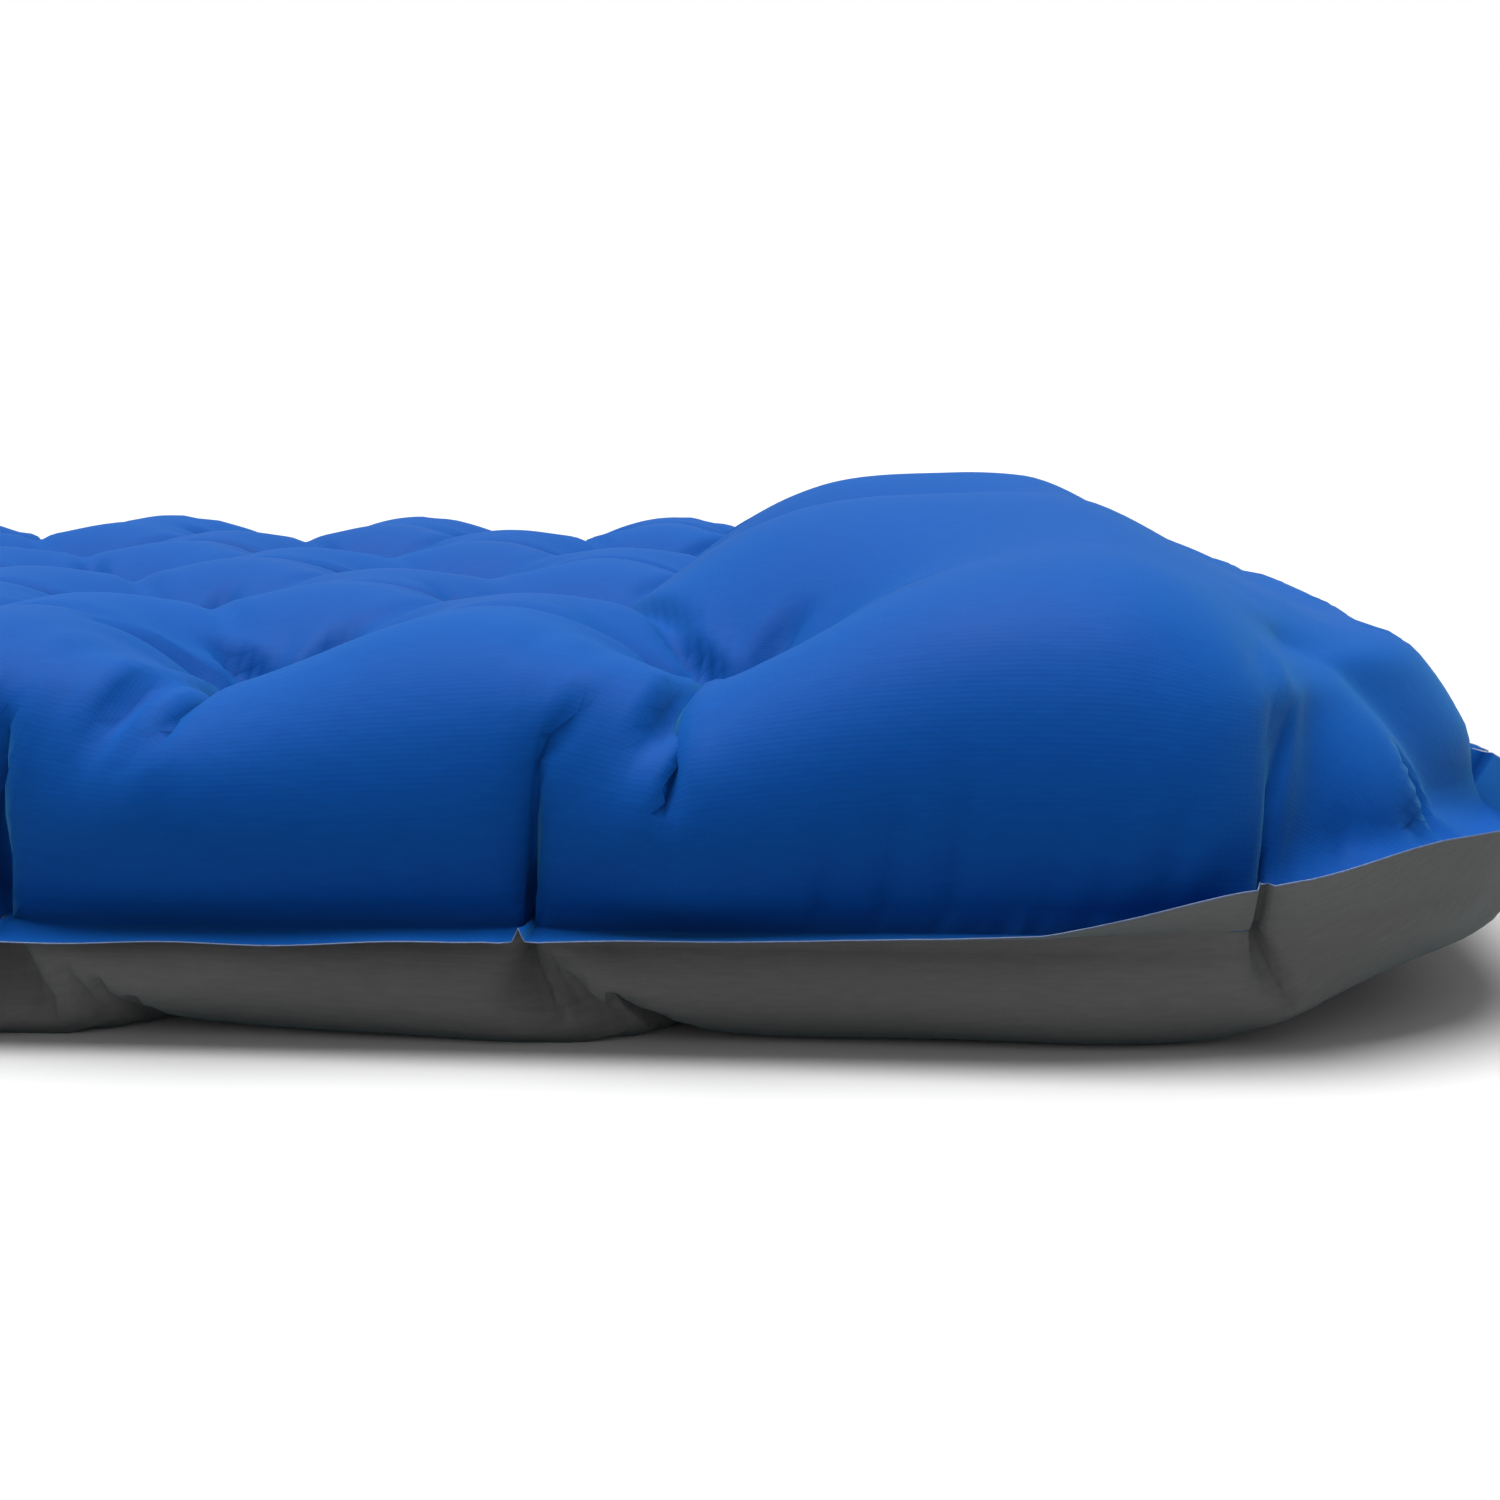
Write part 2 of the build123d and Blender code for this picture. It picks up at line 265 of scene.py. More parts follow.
def pleated(s, pleats):
    """How far along the outline and how far inside it the seam's points go, once the pleats have taken up
    the extra length."""
    total = outline_length()
    extra = SEAM_GROW - 1
    before = np.roll(pleats, 1)
    before[0] -= total
    after = np.roll(pleats, -1)
    after[-1] += total
    arm = PLEAT_GAP + extra * (after - before) / 4
    k = np.searchsorted(pleats, s, side="right") - 1
    left = np.where(k < 0, pleats[-1] - total, pleats[k])
    right = np.where(k + 1 >= len(pleats), pleats[0] + total, pleats[(k + 1) % len(pleats)])
    arm_l, arm_r = arm[k % len(pleats)], arm[(k + 1) % len(pleats)]
    r, q = SEAM_GROW * (s - left), SEAM_GROW * (right - s)
    middle = left + PLEAT_GAP + (r - arm_l) / np.maximum(r + q - arm_l - arm_r, TINY) * (
        right - left - 2 * PLEAT_GAP)
    t = np.where(q < arm_r, right - q * PLEAT_GAP / arm_r, middle)
    t = np.where(r < arm_l, left + r * PLEAT_GAP / arm_l, t)
    deep = np.where(r < arm_l, arm_l - r, np.where(q < arm_r, arm_r - q, 0.0))
    return t, deep


def loop_arc(p):
    """Arc length on the outline of each of the loop's points."""
    fine = np.linspace(0, outline_length(), 40001)[:-1]
    q, _ = outline_point(fine)
    out = np.empty(len(p))
    for n in range(0, len(p), 200):
        d = ((p[n:n + 200, None] - q[None]) ** 2).sum(-1)
        out[n:n + 200] = fine[d.argmin(1)]
    return out


def seam_height(x):
    """The seam's height, which rises a little at the head end."""
    return SEAM_Z + HEAD_SEAM_RISE * smooth(850, 950, x)


def coarse_index(count, coarse_count):
    """Where a finer grid's lines fall between a coarser grid's, and the coarser line below each."""
    numbers = np.arange(coarse_count)
    place = np.interp(np.arange(count), numbers * (count - 1) / (coarse_count - 1), numbers)
    return place, np.clip(np.floor(place).astype(int), 0, coarse_count - 2)


def blur(field):
    """Even out the steps between neighbouring grid points."""
    for axis in (0, 1):
        field = 0.66 * field + 0.17 * (np.roll(field, 1, axis) + np.roll(field, -1, axis))
    return field


def ray(start, angle, bend, first, last):
    """A slightly curved path out of a point on the plan."""
    points = []
    for n in range(5):
        along = first + (last - first) * n / 4
        turn = angle + bend * n / 4
        points.append((start[0] + along * math.cos(turn), start[1] + along * math.sin(turn)))
    return points


# The two ends of every thread: along X, along Y and along both diagonals
PAIRS = {
    "x": (np.s_[:-1, :], np.s_[1:, :]),
    "y": (np.s_[:, :-1], np.s_[:, 1:]),
    "d": (np.s_[:-1, :-1], np.s_[1:, 1:]),
    "e": (np.s_[:-1, 1:], np.s_[1:, :-1]),
}

# How the head end is shaped after the solve, in millimetres
BACK_DROP, CROWN_DROP, WALL_PUSH = 10, 4, 8
CORNER_PULL = 26
LIFT_RADIUS, LIFT_REACH = 163, 100  # of the curve by which the underside leaves the floor

# The folds that are pressed in after the solve, in millimetres
VALLEY_DEPTHS = (3.0, 6.0, 9.0, 11.0)  # from a spot towards its neighbours
WALL_DEPTHS = (9.0, 8.5, 4.5)  # down the wall, from the top one to the lowest
PLEAT_DEPTH = 5.0
FOLD_REACH = 4  # a fold ends this many widths from its middle


class Cloth:
    """Two sheets on one grid, welded at the border and at the spots."""

    def __init__(self, k):
        self.k = k
        self.plan = flat_grid(k)
        self.nx, self.ny = self.plan.shape[:2]
        self.rest = [self.rest_lengths(top) for top in (True, False)]
        self.x = np.zeros((3, 2, self.nx, self.ny), np.float32)
        self.spots = spot_index(k)
        self.pinned = np.zeros((2, self.nx, self.ny), bool)
        self.place = np.zeros_like(self.x)
        self.set_pins()
        self.set_loop()

    def rest_lengths(self, top):
        """How long each thread of a sheet is, along X, along Y and along both diagonals."""
        p = self.plan
        gx, gy = growth(p, top)
        noise = 1 + CLOTH_NOISE * value_noise(p, 45, 3 if top else 4)
        gx, gy = gx * noise, gy * noise
        out = {}
        for name, (a, b) in PAIRS.items():
            d = p[b] - p[a]
            g = np.stack([(gx[a] + gx[b]) / 2, (gy[a] + gy[b]) / 2], -1)
            out[name] = np.linalg.norm(d * g, axis=-1)
        for name, line in (("x", np.s_[:, [0, -1]]), ("y", np.s_[[0, -1], :])):
            a, b = PAIRS[name]
            out[name][line] = np.linalg.norm(p[b] - p[a], axis=-1)[line] * SEAM_GROW
        return out

    def set_pins(self):
        """Hold the welded discs of the spots, and the flat round the valve."""
        p = self.plan
        reach = 1 if self.k == 1 else 0
        for i, j in self.spots:
            for di in range(-reach, reach + 1):
                for dj in range(-reach, reach + 1):
                    d = (p[i + di, j + dj] - p[i, j]) * GROW
                    r = np.linalg.norm(d)
                    if r > SPOT_RADIUS:
                        d *= SPOT_RADIUS / r
                    self.pinned[:, i + di, j + dj] = True
                    self.place[:2, :, i + di, j + dj] = (p[i, j] + d)[:, None]
                    self.place[2, :, i + di, j + dj] = SPOT_Z
        r = np.linalg.norm(p - VALVE, axis=-1)
        valve = r * GROW < VALVE_FLAT
        self.pinned[0] |= valve
        near = p[valve]
        flat = VALVE + (near - VALVE) * GROW
        self.place[0, 0][valve] = flat[:, 0]
        self.place[1, 0][valve] = flat[:, 1]
        self.place[2, 0][valve] = TOP_Z

    def set_loop(self):
        """Number the grid's border anticlockwise, and place it as the seam, with its pleats."""
        nx, ny = self.nx, self.ny
        there, back = np.arange(nx), np.arange(nx - 2, -1, -1)
        up, down = np.arange(1, ny), np.arange(ny - 2, 0, -1)
        i = np.concatenate([there, np.full(ny - 1, nx - 1), back, np.zeros(ny - 2, int)])
        j = np.concatenate([np.zeros(nx, int), up, np.full(nx - 1, ny - 1), down])
        self.loop = (i, j)
        p = self.plan[i, j]
        self.arc = loop_arc(p)
        pleats = pleat_places()
        if self.k == 1:
            pleats = np.sort([self.arc[np.abs(self.arc - q).argmin()] for q in pleats])
        t, deep = pleated(self.arc, pleats)
        at, out = outline_point(t)
        at -= out * deep[:, None]
        z = seam_height(at[:, 0])
        self.seam_place = np.concatenate([at.T, z[None]]).astype(np.float32)
        self.pleats = pleats

    def start(self):
        """Start as a low dome over the plan, with small seeded waves."""
        p = self.plan
        rise = np.clip(edge_distance(p) / DOME_EDGE, 0, 1)
        rise = np.sqrt(1 - (1 - rise) ** 2)
        self.x[0], self.x[1] = p[..., 0], p[..., 1]
        wave = value_noise(p, 30, 7)
        self.x[2, 0] = SEAM_Z + rise * (DOME_UP + 2 * wave)
        self.x[2, 1] = SEAM_Z - rise * (DOME_DOWN + 2 * wave)
        for i, j in self.spots:
            r = np.linalg.norm(p - p[i, j], axis=-1)
            dip = np.exp(-(r / 22) ** 2)
            for s in (0, 1):
                self.x[2, s] = self.x[2, s] * (1 - dip) + SPOT_Z[s] * dip
        self.x[:, self.pinned] = self.place[:, self.pinned]
        self.old = self.x.copy()

    def take(self, coarse):
        """Start from a coarser cloth's shape."""
        ci, i0 = coarse_index(self.nx, coarse.nx)
        cj, j0 = coarse_index(self.ny, coarse.ny)
        fi, fj = (ci - i0)[:, None], (cj - j0)[None, :]
        c = coarse.x
        a = c[:, :, i0][..., j0] * (1 - fi) * (1 - fj)
        a += c[:, :, i0 + 1][..., j0] * fi * (1 - fj)
        a += c[:, :, i0][..., j0 + 1] * (1 - fi) * fj
        a += c[:, :, i0 + 1][..., j0 + 1] * fi * fj
        self.x = a.astype(np.float32)
        self.crease()
        self.x[:, self.pinned] = self.place[:, self.pinned]
        self.old = self.x.copy()

    def crease(self):
        """Press a groove up the wall from each pleat of the seam, as the start of a fold."""
        p = self.plan
        reach = 1 - smooth(32, 52, edge_distance(p))
        at, out = outline_point(self.pleats)
        for q, n in zip(at, out):
            d = p - q
            across = d[..., 0] * -n[1] + d[..., 1] * n[0]
            along = -(d[..., 0] * n[0] + d[..., 1] * n[1])
            near = np.exp(-(across / PLEAT_WIDTH) ** 2) * reach * (along > -5) * (along < 75)
            for axis in (0, 1):
                self.x[axis] -= (n[axis] * PLEAT_GROOVE * near).astype(np.float32)

    def pucker(self):
        """Press the sharp folds of the tight cloth into the top: round each spot and down the wall."""
        rng = np.random.default_rng(5)
        self.pressed = np.zeros((self.nx, self.ny))
        for i, j in self.spots:
            spot = self.plan[i, j]
            side = np.sign(spot[1]) if abs(spot[1]) > 2 * PITCH_Y - 1 else 0
            self.pucker_spot(spot, side, rng)
            if side:
                self.pucker_wall(spot, side, rng)
        at, out = outline_point(self.pleats)
        for q, n in zip(at, out):
            if abs(n).max() > 0.99:
                self.pucker_pleat(q, n, rng)
        depth = blur(self.pressed) * ~self.pinned[0]
        n = self.normals()[:, 0]
        self.x[:, 0] -= (depth * n / np.maximum(np.sqrt((n * n).sum(0)), 1e-9)).astype(np.float32)

    def pucker_spot(self, spot, side, rng):
        """Valleys from a spot towards its neighbours, and short dents between them."""
        for turn in range(6):
            angle = math.radians(60 * turn + rng.uniform(-12, 12))
            if math.sin(angle) * side > 0.3:
                continue
            length = rng.uniform(40, 62)
            bend = math.radians(rng.uniform(-25, 25))
            depth = rng.choice(VALLEY_DEPTHS)
            self.dent(ray(spot, angle, bend, 7, length), depth, rng.uniform(3.0, 3.6), 0.3)
            if rng.uniform() < 0.4:
                angle += math.radians(rng.choice((-1, 1)) * rng.uniform(18, 30))
                start = rng.uniform(5, 10)
                length = start + rng.uniform(14, 24)
                self.dent(ray(spot, angle, bend, start, length), rng.uniform(2.4, 4.2), 3.2, 0.4)

    def pucker_wall(self, spot, side, rng):
        """Two or three narrow dents down the wall below a spot of an outer row, one beside the other."""
        x, y = spot
        lean = rng.uniform(-14, 3)
        y0, y1, y2, y3 = (y + side * q for q in (3, 32, 30, 52))
        high, low, lowest = WALL_DEPTHS
        self.dent([(x, y0), (x + 0.3 * lean, y + side * 16), (x + lean, y1)], high, 3.6, 0.35)
        step = rng.uniform(-5, -3)
        self.dent([(x + lean + step, y2), (x + lean + 2 * step, y3)], low, 3.6, 0.45)
        if rng.uniform() < 0.6:
            self.dent([(x + lean + 4, y + side * 44), (x + lean + 2, y + side * 62)], lowest, 3.4, 0.35)

    def pucker_pleat(self, foot, out, rng):
        """A pleat's sharp groove up the wall, with a dent on each side of its top."""
        along = np.array([-out[1], out[0]])
        self.dent([foot + out * 2, foot - out * 20, foot - out * 48], PLEAT_DEPTH, 2.9, 0.2, 0.2)
        for offset, reach in ((rng.uniform(-6, -4), 0), (rng.uniform(9, 13), 4)):
            top = foot - out * (58 - reach) + along * offset
            self.dent([top, foot - out * 38 + along * 0.7 * offset], rng.uniform(1.2, 2.2), 3.6, 0.25)

    def dent(self, path, depth, width, rim, blunt=1.0):
        """Press a groove along a path on the plan into the top. rim: the height of the raised cloth on
        both sides, over the depth. blunt: below 1 the groove starts more abruptly."""
        path = np.array(path, float)
        low, high = path.min(0) - FOLD_REACH * width, path.max(0) + FOLD_REACH * width
        p = self.plan
        inside = ((p > low) & (p < high)).all(-1) & ~self.pinned[0]
        q = p[inside]
        steps = np.linalg.norm(np.diff(path, axis=0), axis=1)
        total = steps.sum()
        best = np.full(len(q), np.inf)
        along = np.zeros(len(q))
        for n, (a, b) in enumerate(zip(path, path[1:])):
            t = np.clip(((q - a) @ (b - a)) / steps[n] ** 2, 0, 1)
            away = np.linalg.norm(q - a - t[:, None] * (b - a), axis=1)
            closer = away < best
            best[closer] = away[closer]
            along[closer] = ((steps[:n].sum() + t * steps[n]) / total)[closer]
        taper = smooth(0, 0.3 * blunt, along) * (1 - smooth(0.55, 1, along))
        shape = np.exp(-(best / width) ** 2) - rim * np.exp(-((best - 2 * width) / width) ** 2)
        self.pressed[inside] += depth * taper * shape

    def shape_head(self):
        """Shape the head end: flatten its back slope and crown, fill its end wall, pull in its
        corners and lift the edge of its underside."""
        x, z = self.x[0, 0], self.x[2, 0]
        back = smooth(850, 905, x) * (1 - smooth(928, 955, x)) * smooth(80, 110, z)
        wall = smooth(900, 945, x) * smooth(46, 66, z) * (1 - smooth(86, 108, z))
        middle = 1 - smooth(150, 240, np.abs(self.x[1, 0]))
        crown = smooth(100, 130, z) * smooth(760, 820, x)
        self.x[2, 0] = z - BACK_DROP * back - CROWN_DROP * crown
        self.x[0, 0] = x + WALL_PUSH * wall * middle
        corner_x = LENGTH / 2 - CORNER
        for side in (-1, 1):
            corner_y = side * (WIDTH / 2 - CORNER)
            dx, dy = self.x[0, 0] - corner_x, self.x[1, 0] - corner_y
            radius = np.maximum(np.hypot(dx, dy), 1)
            height = self.x[2, 0] - SEAM_Z - HEAD_SEAM_RISE * smooth(850, 950, x)
            amount = CORNER_PULL * smooth(-7, 12, height) * (1 - 0.3 * smooth(40, 65, height))
            amount *= smooth(-15, 40, dx) * smooth(-40, 20, dy * side) * smooth(5, 50, radius)
            amount *= smooth(0.2, 4, edge_distance(self.plan))
            self.x[0, 0] -= (dx / radius * amount).astype(np.float32)
            self.x[1, 0] -= (dy / radius * amount).astype(np.float32)
        inside = np.clip(LIFT_REACH - edge_distance(self.plan), 0, LIFT_REACH)
        lift = LIFT_RADIUS - np.sqrt(LIFT_RADIUS ** 2 - inside ** 2)
        lift = lift * smooth(855, 925, self.plan[..., 0])
        self.x[2, 1] = np.maximum(self.x[2, 1], lift)

    def run(self, count, push, keep, squeeze, bend):
        """Take count steps. push: how far the air moves the cloth in a step. keep: the speed kept from
        step to step. squeeze: how much the threads resist being shortened. bend: how much the cloth
        resists folding."""
        x = self.x
        rest = {n: np.stack([r[n] for r in self.rest]).astype(np.float32) for n in PAIRS}
        cell = (PITCH_X / CELLS_X * self.k) * (PITCH_Y / CELLS_Y * self.k) * GROW * GROW
        sign = np.array([1, -1], np.float32)[:, None, None]
        place = self.place[:, self.pinned]
        for _ in range(count):
            speed = (x - self.old) * keep
            self.old[...] = x
            n = self.normals() * sign
            x += speed
            x += n * (push / cell)
            for goal, a, b in self.passes(rest):
                d = x[b] - x[a]
                length = np.sqrt((d * d).sum(0))
                off = 1 - goal / np.maximum(length, TINY)
                off *= np.where(off > 0, 0.5, 0.5 * squeeze)
                d *= off
                x[a] += d
                x[b] -= d
            self.join(place)
            self.stiffen(bend)
            self.join(place)

    def join(self, place):
        """The welds, the pins and the floor."""
        x = self.x
        i, j = self.loop
        mean = (x[:, 0, i, j] + x[:, 1, i, j]) / 2
        mean += (self.seam_place - mean) * HOLD
        x[:, 0, i, j] = mean
        x[:, 1, i, j] = mean
        x[:, self.pinned] = place
        np.maximum(x[2], 0, out=x[2])

    def passes(self, rest):
        """Sets of threads that share no end, so that each set can be pulled at once, with their rest
        lengths."""
        full = slice(None)
        for first in (0, 1):
            a, b = (full, full, slice(first, -1, 2), full), (full, full, slice(first + 1, None, 2), full)
            yield rest["x"][:, first::2, :], a, b
        for first in (0, 1):
            a, b = (full, full, full, slice(first, -1, 2)), (full, full, full, slice(first + 1, None, 2))
            yield rest["y"][:, :, first::2], a, b
        for first in (0, 1):
            a = (full, full, slice(first, -1, 2), slice(0, -1))
            b = (full, full, slice(first + 1, None, 2), slice(1, None))
            yield rest["d"][:, first::2, :], a, b
            a = (full, full, slice(first, -1, 2), slice(1, None))
            b = (full, full, slice(first + 1, None, 2), slice(0, -1))
            yield rest["e"][:, first::2, :], a, b

    def normals(self):
        """The grid's normals, as long as a cell's area."""
        x = self.x
        du = np.empty_like(x)
        dv = np.empty_like(x)
        du[:, :, 1:-1] = (x[:, :, 2:] - x[:, :, :-2]) / 2
        du[:, :, 0] = x[:, :, 1] - x[:, :, 0]
        du[:, :, -1] = x[:, :, -1] - x[:, :, -2]
        dv[..., 1:-1] = (x[..., 2:] - x[..., :-2]) / 2
        dv[..., 0] = x[..., 1] - x[..., 0]
        dv[..., -1] = x[..., -1] - x[..., -2]
        return np.stack([
            du[1] * dv[2] - du[2] * dv[1],
            du[2] * dv[0] - du[0] * dv[2],
            du[0] * dv[1] - du[1] * dv[0],
        ])

    def stiffen(self, bend):
        """Even out the bends along both directions."""
        x = self.x
        c = x[:, :, 2:] - 2 * x[:, :, 1:-1] + x[:, :, :-2]
        c *= bend
        x[:, :, 1:-1] += c * 2
        x[:, :, 2:] -= c
        x[:, :, :-2] -= c
        c = x[..., 2:] - 2 * x[..., 1:-1] + x[..., :-2]
        c *= bend
        x[..., 1:-1] += c * 2
        x[..., 2:] -= c
        x[..., :-2] -= c


def inflate():
    """Solve the cloth on a coarse grid, then on a fine one, and shape it."""
    coarse = Cloth(2)
    coarse.start()
    coarse.run(300, push=0.35, keep=0.97, squeeze=0.1, bend=0.01)
    coarse.run(300, push=0.025, keep=0.95, squeeze=0.1, bend=0.003)
    fine = Cloth(1)
    fine.take(coarse)
    fine.run(300, push=0.012, keep=0.95, squeeze=0.3, bend=0.002)
    fine.shape_head()
    fine.pucker()
    return fine


# ---------------------------------------------------------------- meshes of the two sheets and the flange

FLANGE_TILT_AT = (-1000.0, 560.0, 700.0, 832.0, 880.0, 930.0)  # x along the sides
FLANGE_TILT = (2.0, -9.0, -2.0, 13.0, 48.0, 72.0)  # degrees above level, at those places
FLANGE_STEPS = 5  # rings across the flange
FLANGE_BOW = 0.8  # how far the flange sags between the seam and the cut edge
PLEAT_LIFT = 0.35  # how much of a pleat's depth the flange's cut edge rises
SHEET_GAP = 0.22  # from the middle of the flange to each sheet
FILM_EDGE = 0.35  # how far the melted film shows beyond the cut edge
FILM_INSET = 1.2  # how far the bead of melted film reaches inside the cut edge
VALVE_HOLE = 17.6  # radius of the top sheet's hole under the valve's collar
HOLE_MARGIN = 1.8  # a cell is cut out if it reaches this far inside the hole


def flange_tilt(base):
    """How far the flange turns up at each point of the seam, in radians: most at the head end's corners."""
    x, y = base[:, 0], base[:, 1]
    tilt = np.interp(x, FLANGE_TILT_AT, FLANGE_TILT)
    middle = smooth(900, 960, x) * (1 - smooth(60, 200, np.abs(y)))
    tilt = tilt * (1 - 0.55 * middle)
    wobble = 4 * value_noise(base, 70, 21) + 2 * value_noise(base, 28, 22)
    return np.radians(tilt + wobble * (1 + smooth(850, 950, x)))


def flange_rings(cloth):
    """The flange's middle surface: the seam, then ring by ring to the cut edge, as [ring, point, axis]."""
    i, j = cloth.loop
    seam = cloth.x[:, 0, i, j].T.astype(float)
    along, deep = pleated(cloth.arc, cloth.pleats)
    base, out = outline_point(along)
    tilt = flange_tilt(base)
    upright = np.sin(tilt)
    edge = np.empty_like(seam)
    inwards = deep * np.clip(upright, 0, 1)
    edge[:, :2] = base + out * (FLANGE * np.cos(tilt) - inwards)[:, None]
    edge[:, 2] = seam[:, 2] + FLANGE * upright + PLEAT_LIFT * deep * np.cos(tilt)
    t = np.linspace(0, 1, FLANGE_STEPS + 1)[:, None, None]
    rings = seam * (1 - t) + edge * t
    bow = np.sin(np.linspace(0, math.pi, FLANGE_STEPS + 1))
    rings[:, :, 2] -= bow[:, None] * FLANGE_BOW
    return rings


def ring_normals(rings):
    """Unit normals of the flange, away from the floor."""
    across = np.gradient(rings, axis=0)
    around = np.roll(rings, -1, 1) - np.roll(rings, 1, 1)
    n = np.cross(across, around)
    return n / np.maximum(np.linalg.norm(n, axis=-1, keepdims=True), 1e-9)


def strip_faces(first, second, turn):
    """Quads between two closed rings of vertex numbers."""
    quads = np.stack([first, second, np.roll(second, -1), np.roll(first, -1)], -1)
    return quads[:, ::-1] if turn else quads


def link(name, mesh):
    obj = bpy.data.objects.new(name, mesh)
    bpy.context.scene.collection.objects.link(obj)
    return obj


def mesh_from(name, points, faces, uv=None):
    """A smooth mesh from points in millimetres, with its cloth coordinates in metres as UVs."""
    mesh = bpy.data.meshes.new(name)
    mesh.from_pydata((np.asarray(points) / 1000).tolist(), [], [list(map(int, f)) for f in faces])
    mesh.polygons.foreach_set("use_smooth", [True] * len(mesh.polygons))
    if uv is not None:
        corner = np.empty(len(mesh.loops), np.int32)
        mesh.loops.foreach_get("vertex_index", corner)
        layer = mesh.uv_layers.new(name="cloth")
        layer.data.foreach_set("uv", (np.asarray(uv)[corner] / 1000).astype(np.float32).ravel())
    mesh.update()
    return mesh


def sheet_mesh(name, cloth, rings, top):
    """One sheet: its grid, its half of the flange and, in the top one, the valve's hole."""
    layer = 0 if top else 1
    nx, ny = cloth.nx, cloth.ny
    grid = np.moveaxis(cloth.x[:, layer].astype(float), 0, -1)
    index = np.arange(nx * ny).reshape(nx, ny)
    quads = np.stack([index[:-1, :-1], index[1:, :-1], index[1:, 1:], index[:-1, 1:]], -1).reshape(-1, 4)
    if top:
        quads = cut_hole(grid, quads)
    else:
        quads = quads[:, ::-1]
    shift = ring_normals(rings) * (SHEET_GAP if top else -SHEET_GAP)
    points = [grid.reshape(-1, 3)]
    uv = [cloth.plan.reshape(-1, 2) * GROW]
    faces = [quads]
    i, j = cloth.loop
    previous = index[i, j]
    _, out = outline_point(cloth.arc)
    for n in range(1, FLANGE_STEPS + 1):
        count = sum(len(p) for p in points)
        points.append(rings[n] + shift[n])
        uv.append((cloth.plan[i, j] + out * FLANGE * n / FLANGE_STEPS) * GROW)
        ring = np.arange(len(out)) + count
        faces.append(strip_faces(previous, ring, not top))
        previous = ring
    return link(name, mesh_from(name, np.concatenate(points), np.concatenate(faces), np.concatenate(uv)))


def cut_hole(grid, quads):
    """Take out the cells over the valve's bore and snap the rim to a circle inside the collar's wall."""
    flat = grid.reshape(-1, 3)
    away = flat[:, :2] - VALVE
    radius = np.linalg.norm(away, axis=-1)
    inner = radius[quads].min(1) < VALVE_HOLE - HOLE_MARGIN
    near = flat[quads][:, :, 2].mean(1) > TOP_Z - 30
    gone = inner & near
    rim = np.intersect1d(quads[gone].ravel(), quads[~gone].ravel())
    flat[rim, :2] = VALVE + away[rim] * (VALVE_HOLE / radius[rim])[:, None]
    flat[rim, 2] = TOP_Z
    return quads[~gone]


def film_mesh(name, rings):
    """The melted film, which shows as a fine bead along the cut edge."""
    n = ring_normals(rings)[-1]
    outward = rings[-1] - rings[-2]
    outward /= np.linalg.norm(outward, axis=-1, keepdims=True)
    edge = rings[-1]
    inner = edge - outward * FILM_INSET
    bead = SHEET_GAP * 0.95
    section = (
        inner + n * bead * 0.8,
        edge + n * bead * 0.9,
        edge + outward * FILM_EDGE * 0.8 + n * bead * 0.6,
        edge + outward * FILM_EDGE,
        edge + outward * FILM_EDGE * 0.8 - n * bead * 0.6,
        edge - n * bead * 0.9,
        inner - n * bead * 0.8,
    )
    count = len(edge)
    numbers = [np.arange(count) + count * k for k in range(len(section))]
    faces = [strip_faces(a, b, False) for a, b in zip(numbers, numbers[1:] + numbers[:1])]
    return link(name, mesh_from(name, np.concatenate(section), np.concatenate(faces)))


# ---------------------------------------------------------------- straps of the valve

STRAP, STRAP_WIDTH, STRAP_ROUNDING = 1.2, 8.0, 0.35
INTO_RING, INTO_LID = 0.6, 0.15  # how far the strap's ends go into its ring and into the lid's edge


def rounded_section(width, height, radius):
    """A rounded rectangle's outline, centred on the origin: points (across, up)."""
    points = []
    for k in range(4):
        a = math.pi / 2 * k
        cx = (width / 2 - radius) * (1 if k in (0, 3) else -1)
        cy = (height / 2 - radius) * (1 if k in (0, 1) else -1)
        for n in range(4):
            b = a + math.pi / 2 * n / 3
            points.append((cx + radius * math.cos(b), cy + radius * math.sin(b)))
    return points


def sweep(bm, path, section):
    """Sweep a section along a path in the XZ plane; the section's across is Y."""
    rings = []
    for n, (x, z) in enumerate(path):
        ahead = path[min(n + 1, len(path) - 1)]
        behind = path[max(n - 1, 0)]
        dx, dz = ahead[0] - behind[0], ahead[1] - behind[1]
        size = math.hypot(dx, dz)
        nx, nz = -dz / size, dx / size
        rings.append([bm.verts.new((x + nx * u, v, z + nz * u)) for v, u in section])
    for a, b in zip(rings, rings[1:]):
        for k in range(len(section)):
            m = (k + 1) % len(section)
            bm.faces.new((a[k], a[m], b[m], b[k]))
    bm.faces.new(rings[0][::-1])
    bm.faces.new(rings[-1])


def lathe(bm, section, centre_radius, z, count=96):
    """Turn a section about the Z axis."""
    rings = []
    for n in range(count):
        a = 2 * math.pi * n / count
        rings.append([
            bm.verts.new(((centre_radius + u) * math.cos(a), (centre_radius + u) * math.sin(a), z + v))
            for u, v in section
        ])
    for n in range(count):
        a, b = rings[n], rings[(n + 1) % count]
        for k in range(len(section)):
            m = (k + 1) % len(section)
            bm.faces.new((a[k], b[k], b[m], a[m]))


